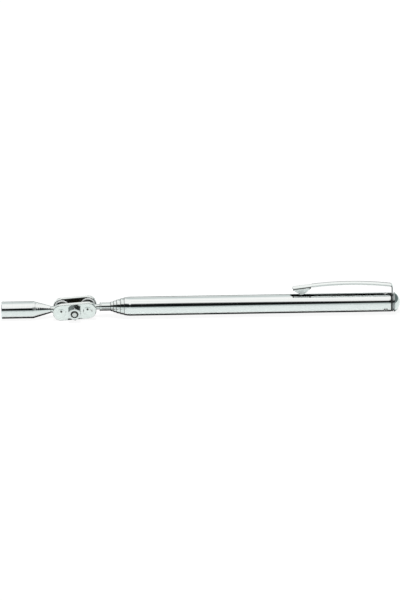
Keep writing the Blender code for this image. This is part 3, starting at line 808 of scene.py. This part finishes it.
def make_nut(material, nut_screw_shade):
    box = Measured("clamp_nut")
    corner = NUT_ACROSS_FLATS / math.sqrt(3.0)
    inner, outer = box.y1, box.y0
    angles = [math.radians(60.0 * i) for i in range(6)]
    hexagon = [link_point(corner * math.sin(angle), corner * math.cos(angle)) for angle in angles]
    solid = loft([[(x, y, z) for x, z in hexagon] for y in (inner, outer)])
    nut = link("clamp_nut_hex", finish_mesh(solid, "clamp_nut_hex", None))
    place = link_point(0.0)
    flat = NUT_ACROSS_FLATS / 2 - 0.12
    shape = [(outer - 0.01, 0.0), (outer - 0.01, flat), (outer + 0.42, corner + 0.12),
             (inner - 0.22, corner + 0.12), (inner + 0.01, corner - 0.3), (inner + 0.01, 0.0)]
    combine(nut, across_link("shape", shape, place, False, 144), "INTERSECT")
    bore = [(outer - 0.2, 0.0), (outer - 0.2, 1.93), (outer + 0.45, 1.5), (inner - 0.3, 1.5),
            (inner + 0.2, 1.9), (inner + 0.2, 0.0)]
    combine(nut, across_link("bore", bore, place), "DIFFERENCE")
    soften(nut, 0.05, 2, 25.0)
    smooth_over_flats(nut, 30.0)
    dress(nut, "swivel_link", "nut_steel", material, "clamp_nut", others=(nut_screw_shade,))
    x, z = place
    # Painted shade on the nut's bore and sides.
    for face in nut.data.polygons:
        spots = [nut.data.vertices[i].co / MM for i in face.vertices]
        bore_shade = max(math.hypot(spot.x - x, spot.z - z) for spot in spots) < 2.0
        if bore_shade or abs(face.normal.y) < 0.3:
            face.material_index = 1


def make_spacer(material):
    box = Measured("spacer_sleeve")
    corners = [(box.y1, 1.55, 0.05), (box.y1, 2.1, 0.15), (box.y0, 2.1, 0.15),
               (box.y0, 1.55, 0.05)]
    sleeve = across_link("spacer_sleeve_brass", rounded(corners, True), link_point(0.0), True)
    dress(sleeve, "swivel_link", "brass", material, "spacer_sleeve")


# Pocket clip ---------------------------------------------------------------------------

CLIP_WIDTH = 3.5
CLIP_THICKNESS = 0.5
CLIP_BEND_RADIUS = 0.95
CLIP_ARCH_RADIUS = 145.0
CLIP_ARCH_FROM_LEG = 19.62
CLIP_CROWN = 0.08
LEG_STEPS = 6


def clip_line(box, foot):
    """The strip's middle line as (x, z), from its foot over the bend to its tip."""
    leg = box.x1 - CLIP_THICKNESS / 2
    arch_x = leg - CLIP_ARCH_FROM_LEG
    arch_top = box.z1 - CLIP_THICKNESS / 2
    centre = arch_top - CLIP_ARCH_RADIUS
    bend = leg - CLIP_BEND_RADIUS
    reach = CLIP_ARCH_RADIUS - CLIP_BEND_RADIUS
    lean = math.asin((bend - arch_x) / reach)
    bend_z = centre + reach * math.cos(lean)
    line = [(leg, foot + (bend_z - foot) * i / LEG_STEPS) for i in range(LEG_STEPS)]
    turn = math.pi / 2 - lean
    for i in range(17):
        angle = turn * i / 16
        line.append((bend + CLIP_BEND_RADIUS * math.cos(angle),
                     bend_z + CLIP_BEND_RADIUS * math.sin(angle)))
    straight_x = box.x0 + 8.6
    last = math.asin((straight_x - arch_x) / CLIP_ARCH_RADIUS)
    for i in range(1, 49):
        angle = lean + (last - lean) * i / 48
        line.append((arch_x + CLIP_ARCH_RADIUS * math.sin(angle),
                     centre + CLIP_ARCH_RADIUS * math.cos(angle)))
    start_x, start_z = line[-1]
    for i in range(1, 25):
        x = start_x + (box.x0 - start_x) * i / 24
        line.append((x, start_z + (x - start_x) * math.tan(-last)))
    return line


def strip_section(half_width, half_thickness, crown):
    """Across the strip, as (y, offset from the middle line): round edges, curved back."""
    def sink(y):
        return crown * max(abs(y) / half_width - 0.35, 0.0) ** 2 / 0.65 ** 2

    corner = 0.94 * half_thickness
    reach = half_width - corner
    spread = [reach * (1.0 - i / 5) for i in range(11)]
    points = [(y, half_thickness - sink(y)) for y in spread]
    drop = sink(reach)
    for side, start in ((-1, 90.0), (1, -90.0)):
        for i in range(1, 8):
            angle = math.radians(start + 180.0 * i / 8)
            points.append((side * reach + corner * math.cos(angle),
                           half_thickness * math.sin(angle) - drop))
        if side < 0:
            points += [(-y, -half_thickness - sink(y)) for y in spread]
    return points


def make_clip(material, crease_shade_material, underside_light_material, leg_shade_material):
    box = Measured("pocket_clip")
    foot = joint_point("clip_flex").z
    line = clip_line(box, foot)
    rings = []
    for i, (x, z) in enumerate(line):
        before = Vector(line[max(i - 1, 0)])
        after = Vector(line[min(i + 1, len(line) - 1)])
        direction = (after - before).normalized()
        normal = Vector((direction.y, -direction.x))
        left = max(x - box.x0, 0.0)
        half = CLIP_WIDTH / 2
        if left < BOAT_LENGTH + 1.2:
            half -= SHOULDER * min(1.0, (BOAT_LENGTH + 1.2 - left) / 1.2)
        if left < NOSE:
            half -= 0.7 * (1.0 - math.sqrt(max(1.0 - ((NOSE - left) / NOSE) ** 2, 0.0)))
        crown = CLIP_CROWN if i > LEG_STEPS else 0.0
        section = strip_section(half, CLIP_THICKNESS / 2, crown)
        rings.append([(x + normal.x * t, y, z + normal.y * t) for y, t in section])
    clip = link("pocket_clip_spring", finish_mesh(loft(rings), "pocket_clip_spring"))
    combine(clip, clip_boat(box, line), "UNION")
    smooth_over_flats(clip, 34.0)
    dress(clip, "clip", "clip_steel", material, "pocket_clip",
          others=(crease_shade_material, underside_light_material, leg_shade_material))
    # Painted shade on the leg's sides, foot and inner bend and on the boat's shoulders and
    # corners; painted light on the undersides.
    for face in clip.data.polygons:
        x, y, z = face.center / MM
        along = x - box.x0
        on_boat = 0.3 < along < BOAT_LENGTH + 0.7
        corner_shade = on_boat and face.normal.z < 0.3 and not 0.8 < along < BOAT_LENGTH - 0.2
        if x > box.x1 - 1.3 and z < box.z1 - 1.2:
            face.material_index = 3 if abs(face.normal.y) > 0.3 else 0
            if z < foot + 0.5 or face.normal.x < -0.3:
                face.material_index = 1
        if on_boat and abs(y) > CLIP_WIDTH / 2 - 0.45 and 0.1 < face.normal.z < 0.86:
            face.material_index = 1
        elif corner_shade:
            face.material_index = 1
        elif face.normal.z < (0.1 if on_boat else -0.7):
            face.material_index = 2


BOAT_LENGTH = 8.2
BOAT_START = 0.45
BOAT_KEEL = 4.5
KEEL_HALF = 0.35
SHOULDER = 0.55
NOSE = 0.9


def clip_boat(box, line):
    """The tip's flaps, folded down and pinched together along a keel over the barrel."""
    (x1, z1), (x2, z2) = line[-1], line[-20]
    slope = (z2 - z1) / (x2 - x1)
    half = CLIP_WIDTH / 2
    start = box.x0 + BOAT_START
    end = start + BOAT_LENGTH
    keel = box.x0 + BOAT_KEEL
    rings = []
    stations = 24
    for i in range(stations + 1):
        x = start + (end - start) * i / stations
        top = z1 + (x - x1) * slope + CLIP_THICKNESS / 2 - 0.01
        down = min((x - start) / (keel - 0.6 - start), (end - x) / (end - keel - 0.6), 1.0)
        shallow = SHOULDER + 0.25
        depth = shallow + (top - box.z0 - shallow) * max(down, 0.0)
        low_half = half - (half - KEEL_HALF) * max(down, 0.0)
        outline = [(half - 1.2, top)]
        for j in range(9):
            angle = math.radians(90.0 - 86.0 * j / 8)
            outline.append((half - SHOULDER + SHOULDER * math.cos(angle),
                            top - SHOULDER + SHOULDER * math.sin(angle)))
        outline.append((low_half, top - depth + 0.06))
        outline.append((low_half - 0.08, top - depth))
        section = outline + [(-y, z) for y, z in reversed(outline)]
        rings.append([(x, y, z) for y, z in section])
    return link("boat", finish_mesh(loft(rings), "boat"))


# Stage, light and camera ---------------------------------------------------------------

def make_floor():
    mesh = bpy.data.meshes.new("floor")
    solid = bmesh.new()
    bmesh.ops.create_grid(solid, x_segments=8, y_segments=8, size=4.0)
    solid.to_mesh(mesh)
    solid.free()
    floor = link("floor", mesh)
    floor.location.z = cad_box[0][2] - 0.00003
    material, graph, shader, where = new_material("pale_floor")
    cloud = graph.noise(where, 3.0, 2.0, 0.5)
    graph.wire(graph.mix(cloud, (0.85, 0.91, 0.90), (0.87, 0.925, 0.915)),
               shader.inputs["Base Color"])
    shader.inputs["Roughness"].default_value = 0.7
    shader.inputs["Specular IOR Level"].default_value = 0.1
    lit = graph.node("ShaderNodeBsdfDiffuse")
    lit.inputs["Color"].default_value = (0.11, 0.11, 0.11, 1.0)
    glow = graph.node("ShaderNodeEmission")
    glow.inputs["Strength"].default_value = 0.925
    seen = graph.node("ShaderNodeAddShader")
    graph.wire(lit.outputs[0], seen.inputs[0])
    graph.wire(glow.outputs[0], seen.inputs[1])
    choice = graph.node("ShaderNodeMixShader")
    graph.wire(graph.node("ShaderNodeLightPath").outputs["Is Camera Ray"], choice.inputs[0])
    graph.wire(shader.outputs[0], choice.inputs[1])
    graph.wire(seen.outputs[0], choice.inputs[2])
    graph.wire(choice.outputs[0], material.node_tree.nodes["Material Output"].inputs["Surface"])
    mesh.materials.append(material)


def tent_color(level):
    """The tent's cloth is neutral where it is bright and cooler where it is dim."""
    return (level * min(0.74 + 0.22 * level, 1.0), level, level * 0.99)


def elevation_stops(levels):
    return [((degrees + 90.0) / 180.0, tent_color(level)) for degrees, level in levels]


FRONT_LIGHT = ((-90.0, 0.9), (0.0, 0.72), (9.0, 0.66), (15.0, 0.008), (47.5, 0.008),
               (60.0, 1.1), (68.0, 1.18), (75.0, 1.1), (81.0, 1.0), (88.0, 1.15))
FLANK_LIGHT = ((-90.0, 0.9), (0.0, 0.85), (20.0, 1.0), (60.0, 1.15), (90.0, 1.15))
HEAD_SIDE_LIGHT = ((-90.0, 0.9), (-12.0, 0.85), (-2.0, 0.22), (44.0, 0.12), (56.0, 0.25),
                   (68.0, 1.1), (90.0, 1.15))
CAP_SIDE_LIGHT = ((-90.0, 0.9), (-12.0, 0.85), (-2.0, 0.2), (40.0, 0.15), (50.0, 1.1),
                  (90.0, 1.15))
BACK_LIGHT = ((-90.0, 0.9), (1.0, 0.5), (3.0, 0.08), (17.0, 0.1), (21.0, 1.12), (31.0, 1.12),
              (35.0, 0.5), (44.0, 0.62), (56.0, 0.9), (66.0, 1.0), (78.0, 1.15), (90.0, 1.15))
FILL_SHARE = 0.35


def narrowed(graph, x, level):
    """The dark camera side is tallest in the middle: squeeze it towards its ends."""
    centre = (23.5 + 90.0) / 180.0
    offset = graph.math("ADD", x, 0.0075)
    squeeze = graph.math("MULTIPLY", graph.math("MULTIPLY", offset, offset), 220.0)
    squeeze = graph.math("MINIMUM", squeeze, 0.65)
    wide = graph.spread(graph.math("ABSOLUTE", x), 0.07, 0.15, 1.0, 0.0)
    factor = graph.math("ADD", graph.math("MULTIPLY", squeeze, wide), 1.0)
    away = graph.math("MULTIPLY", graph.math("SUBTRACT", level, centre), factor)
    return graph.math("ADD", away, centre)


def make_world():
    """A light tent: bright overhead, the dark camera side in front, dim sides and back."""
    world = bpy.data.worlds.new("light_tent")
    bpy.context.scene.world = world
    world.use_nodes = True
    graph = Graph(world.node_tree)
    background = world.node_tree.nodes["Background"]
    direction = graph.node("ShaderNodeTexCoord").outputs["Generated"]
    x, y, z = graph.split(direction)
    level = graph.spread(graph.math("ARCSINE", z), -math.pi / 2, math.pi / 2, 0.0, 1.0)
    flat = graph.math("SQRT", graph.math("ADD", graph.math("MULTIPLY", x, x),
                                         graph.math("MULTIPLY", y, y)))
    facing = graph.math("DIVIDE", y, graph.math("MAXIMUM", flat, 0.001))
    around = graph.ramp(narrowed(graph, x, level), elevation_stops(FRONT_LIGHT))
    sides = graph.mix(graph.spread(x, -0.1, 0.1, 0.0, 1.0),
                      graph.ramp(level, elevation_stops(HEAD_SIDE_LIGHT)),
                      graph.ramp(level, elevation_stops(CAP_SIDE_LIGHT)))
    flank = graph.ramp(level, elevation_stops(FLANK_LIGHT))
    behind = graph.mix(graph.spread(x, 0.4, 0.5, 0.0, 1.0), flank, sides)
    for start, end, light in ((-0.74, -0.62, flank), (-0.6, -0.45, sides), (0.5, 0.65, behind),
                              (0.93, 0.97, graph.ramp(level, elevation_stops(BACK_LIGHT)))):
        around = graph.mix(graph.spread(facing, start, end, 0.0, 1.0), around, light)
    graph.wire(around, background.inputs["Color"])
    fill = graph.node("ShaderNodeLightPath").outputs["Is Diffuse Ray"]
    graph.wire(graph.spread(fill, 0.0, 1.0, 1.0, FILL_SHARE), background.inputs["Strength"])


def make_key_light():
    """A softbox overhead and slightly in front. It lights the floor, and isn't mirrored."""
    lamp = bpy.data.lights.new("key_softbox", "AREA")
    lamp.shape = "DISK"
    lamp.size = 0.35
    lamp.energy = 34.0
    obj = bpy.data.objects.new("key_softbox", lamp)
    bpy.context.scene.collection.objects.link(obj)
    elevation = math.radians(85.0)
    obj.location = (0.0, -2.0 * math.cos(elevation), 2.0 * math.sin(elevation))
    obj.rotation_euler = (-obj.location).to_track_quat("-Z", "Y").to_euler()
    obj.visible_glossy = False


def glossy_only(obj, shadow):
    """Make a card that only reflections show, and that may still cast a shadow."""
    obj.visible_camera = False
    obj.visible_shadow = shadow
    obj.visible_diffuse = False


def card_material(name, stops):
    """A matt card whose tone changes across Y. stops are (y in mm, tone)."""
    material, graph, shader, where = new_material(name)
    low, high = stops[0][0], stops[-1][0]
    place = graph.spread(graph.split(where)[1], low * MM, high * MM, 0.0, 1.0)
    tones = [((y - low) / (high - low), (tone, tone, tone)) for y, tone in stops]
    graph.wire(graph.ramp(place, tones), shader.inputs["Base Color"])
    shader.inputs["Roughness"].default_value = 0.9
    shader.inputs["Specular IOR Level"].default_value = 0.0
    return material


def seen_from_below(material):
    """Let everything pass through a card but the first reflection, which comes from below."""
    nodes = material.node_tree.nodes
    graph = Graph(material.node_tree)
    choice = graph.node("ShaderNodeMixShader")
    depth = graph.node("ShaderNodeLightPath").outputs["Ray Depth"]
    below = graph.node("ShaderNodeNewGeometry").outputs["Backfacing"]
    first = graph.math("LESS_THAN", depth, 1.5)
    graph.wire(graph.math("MULTIPLY", first, below), choice.inputs[0])
    graph.wire(graph.node("ShaderNodeBsdfTransparent").outputs[0], choice.inputs[1])
    graph.wire(nodes["Principled BSDF"].outputs[0], choice.inputs[2])
    graph.wire(choice.outputs[0], nodes["Material Output"].inputs["Surface"])


def make_gap_flag():
    """Black card along the barrel's top, under the clip, for a painted dark reflection there. Only
    reflections show it.
    """
    clip = Measured("pocket_clip")
    axis = BARREL.middle_z
    radius = BARREL.radius + 0.012
    solid = bmesh.new()
    shape = ((clip.x0 - 1.0, 86.0, 92.0), (clip.x0 - 0.5, 77.0, 98.0), (clip.x0, 73.0, 100.0),
             (clip.x0 + 4.5, 71.0, 100.0), (clip.x0 + 7.0, 72.0, 96.0),
             (clip.x0 + 9.0, 72.5, 93.0), (clip.x0 + 26.0, 70.5, 92.5),
             (BARREL.x1 - 0.1, 71.5, 92.5))
    rings = []
    steps = 14
    for x, low, high in shape:
        ring = []
        for i in range(steps + 1):
            angle = math.radians(low + (high - low) * i / steps)
            ring.append(solid.verts.new((x, -radius * math.cos(angle),
                                         axis + radius * math.sin(angle))))
        rings.append(ring)
    for first, second in zip(rings, rings[1:]):
        for i in range(steps):
            solid.faces.new((first[i], first[i + 1], second[i + 1], second[i]))
    for face in solid.faces:
        face.normal_update()
        if face.normal.z < 0.0:
            face.normal_flip()
    flag = link("gap_flag", finish_mesh(solid, "gap_flag", None, False))
    flag.data.materials.append(card_material("gap_card", ((-5.0, 0.012), (5.0, 0.012))))
    seen_from_below(flag.data.materials[0])
    glossy_only(flag, True)


def make_floor_card(name, x0, x1, lift, tones):
    """A card lying on the floor, toned across Y. Only reflections show it."""
    height = cad_box[0][2] / MM - 0.02 + lift
    low, high = tones[0][0], tones[-1][0]
    solid = bmesh.new()
    corners = ((x0, low), (x1, low), (x1, high), (x0, high))
    solid.faces.new([solid.verts.new((x, y, height)) for x, y in corners])
    card = link(name, finish_mesh(solid, name, None))
    card.data.materials.append(card_material(name, tones))
    glossy_only(card, False)


def make_contact_cards():
    """Painted shade on the floor right under the tool and round the nut, where no light gets in,
    and in front of the tip tube.
    """
    tones = ((-4.6, 0.85), (-3.7, 0.6), (-3.25, 0.3), (-2.8, 0.015), (2.8, 0.015), (3.25, 0.3),
             (3.7, 0.6), (4.6, 0.85))
    make_floor_card("contact_card", cad_box[0][0] / MM, BARREL.x1 + 0.5, 0.005, tones)
    nut = Measured("clamp_nut")
    make_floor_card("nut_card", nut.x0 - 0.4, nut.x1 + 0.6, 0.01, ((-6.6, 0.05), (-2.6, 0.02)))
    tip = Measured("section_6_tube")
    make_floor_card("tip_card", tip.x0 + 0.3, tip.x0 + 4.8, 0.01,
                    ((-40.0, 0.6), (-14.0, 0.45), (-8.0, 0.35), (-2.6, 0.25)))


CAMERA_ELEVATION = 26.0


def make_camera():
    camera = bpy.data.cameras.new("camera")
    camera.sensor_fit = "HORIZONTAL"
    camera.sensor_width = 36.0
    camera.clip_start = 0.01
    obj = bpy.data.objects.new("camera", camera)
    bpy.context.scene.collection.objects.link(obj)
    bpy.context.scene.camera = obj
    elevation = math.radians(CAMERA_ELEVATION)
    distance = 1.8
    tool_length = cad_box[1][0] - cad_box[0][0]
    camera.lens = camera.sensor_width * distance / (tool_length * 1.0055)
    target = Vector((-0.00005, -0.0003, 0.00735))
    away = Vector((0.0, -math.cos(elevation), math.sin(elevation)))
    turn = (-away).to_track_quat("-Z", "Y") @ Quaternion((0.0, 0.0, 1.0), math.radians(-0.95))
    obj.location = target + away * distance
    obj.rotation_euler = turn.to_euler()


# Build ---------------------------------------------------------------------------------

chrome = drawn_metal("barrel_chrome", (0.83, 0.84, 0.835), (0.77, 0.78, 0.775), 0.03, 0.06)
tube_metal = drawn_metal("tube_steel", (0.80, 0.82, 0.81), (0.72, 0.74, 0.73), 0.03, 0.06, 3000.0)
CONE_RIDGES = ((SHELL.x0 + 14.3) * MM, (SHELL.x0 + 18.2) * MM, 0.0010, 0.00003)
head_chrome = turned_metal("head_chrome", (0.82, 0.83, 0.825), (0.76, 0.77, 0.765), 0.03, 0.08,
                           0.0007, 0.1, CONE_RIDGES)
cap_chrome = turned_metal("cap_chrome", (0.80, 0.82, 0.81), (0.72, 0.75, 0.73), 0.05, 0.1,
                          0.0005, 0.06)
stud_steel = turned_metal("stud_steel", (0.78, 0.80, 0.79), (0.66, 0.68, 0.67), 0.05, 0.12,
                          0.0004, 0.08)
plate_metal = stamped_metal("plated_stamping", (0.84, 0.86, 0.84), (0.74, 0.76, 0.745),
                            0.09, 0.17, 0.2)
nut_metal = stamped_metal("bright_nut", (0.80, 0.82, 0.81), (0.66, 0.68, 0.67), 0.07, 0.14, 0.1)
screw_metal = stamped_metal("screw_steel", (0.70, 0.71, 0.70), (0.56, 0.57, 0.56), 0.14, 0.24, 0.1)
clip_chrome = drawn_metal("clip_chrome", (0.83, 0.85, 0.84), (0.75, 0.77, 0.76), 0.04, 0.09,
                          2200.0)
# Near-white satin for painted light: the clip's undersides and the plates' lips and rims.
painted_light_satin = drawn_metal("painted_light_satin", (0.97, 0.98, 0.98), (0.93, 0.95, 0.94), 0.42, 0.5, 2200.0,
                         metallic=0.35)
ring_steel = stamped_metal("dark_ring_steel", (0.26, 0.27, 0.27), (0.05, 0.055, 0.055), 0.2, 0.35,
                           1.0)
brass = turned_metal("dull_brass", (0.62, 0.54, 0.37), (0.44, 0.38, 0.25), 0.2, 0.4, 0.0004, 0.2)
# Near-black coat: painted shade in mouths, dents, gaps, punch marks and the clip's crease.
painted_shade_steel = stamped_metal("painted_shade_steel", (0.16, 0.16, 0.15), (0.06, 0.06, 0.055), 0.25, 0.45)
# Darker coat for painted shade on the end cap's rim and seat.
rim_shade_metal = stamped_metal("cap_rim_shade", (0.62, 0.64, 0.64), (0.16, 0.17, 0.17), 0.1, 0.2, 1.0)
# Grey coat for painted shade on the nut's sides and bore and on the clip leg's sides.
painted_shade_grey = stamped_metal("painted_shade_grey", (0.34, 0.35, 0.35), (0.24, 0.25, 0.25), 0.12, 0.2, 0.1)
hidden_steel = stamped_metal("disc_steel", (0.40, 0.41, 0.41), (0.28, 0.29, 0.29), 0.3, 0.45)
magnet_metal = ground_metal("magnet_nickel", (0.66, 0.65, 0.62), (0.50, 0.49, 0.47),
                            Measured("magnet").middle_z, 0.16, 0.3)

make_head(head_chrome, magnet_metal)
make_studs(stud_steel)
make_plate("front_swivel_plate", 1, "front_plate", plate_metal, painted_shade_steel, painted_light_satin)
make_plate("rear_swivel_plate", -1, "rear_plate", plate_metal, painted_shade_steel, painted_light_satin)
make_screw(screw_metal, painted_shade_steel)
make_nut(nut_metal, painted_shade_grey)
make_spacer(brass)
make_sections(tube_metal, painted_shade_steel)
make_barrel(chrome, painted_shade_steel)
make_end_cap(cap_chrome, rim_shade_metal)
make_clip_ring(ring_steel)
make_clip(clip_chrome, painted_shade_steel, painted_light_satin, painted_shade_grey)

hidden = {f"section_{number}_{kind}": brass for number in range(2, 7)
          for kind in ("friction_sleeve", "tail_plug")}
hidden.update(end_plug=brass, backing_disc=hidden_steel)
for node, coat in hidden.items():
    NODES[node].data.materials.clear()
    NODES[node].data.materials.append(coat)

make_floor()
make_world()
make_key_light()
make_gap_flag()
make_contact_cards()
make_camera()
bpy.context.scene.view_settings.view_transform = "Standard"
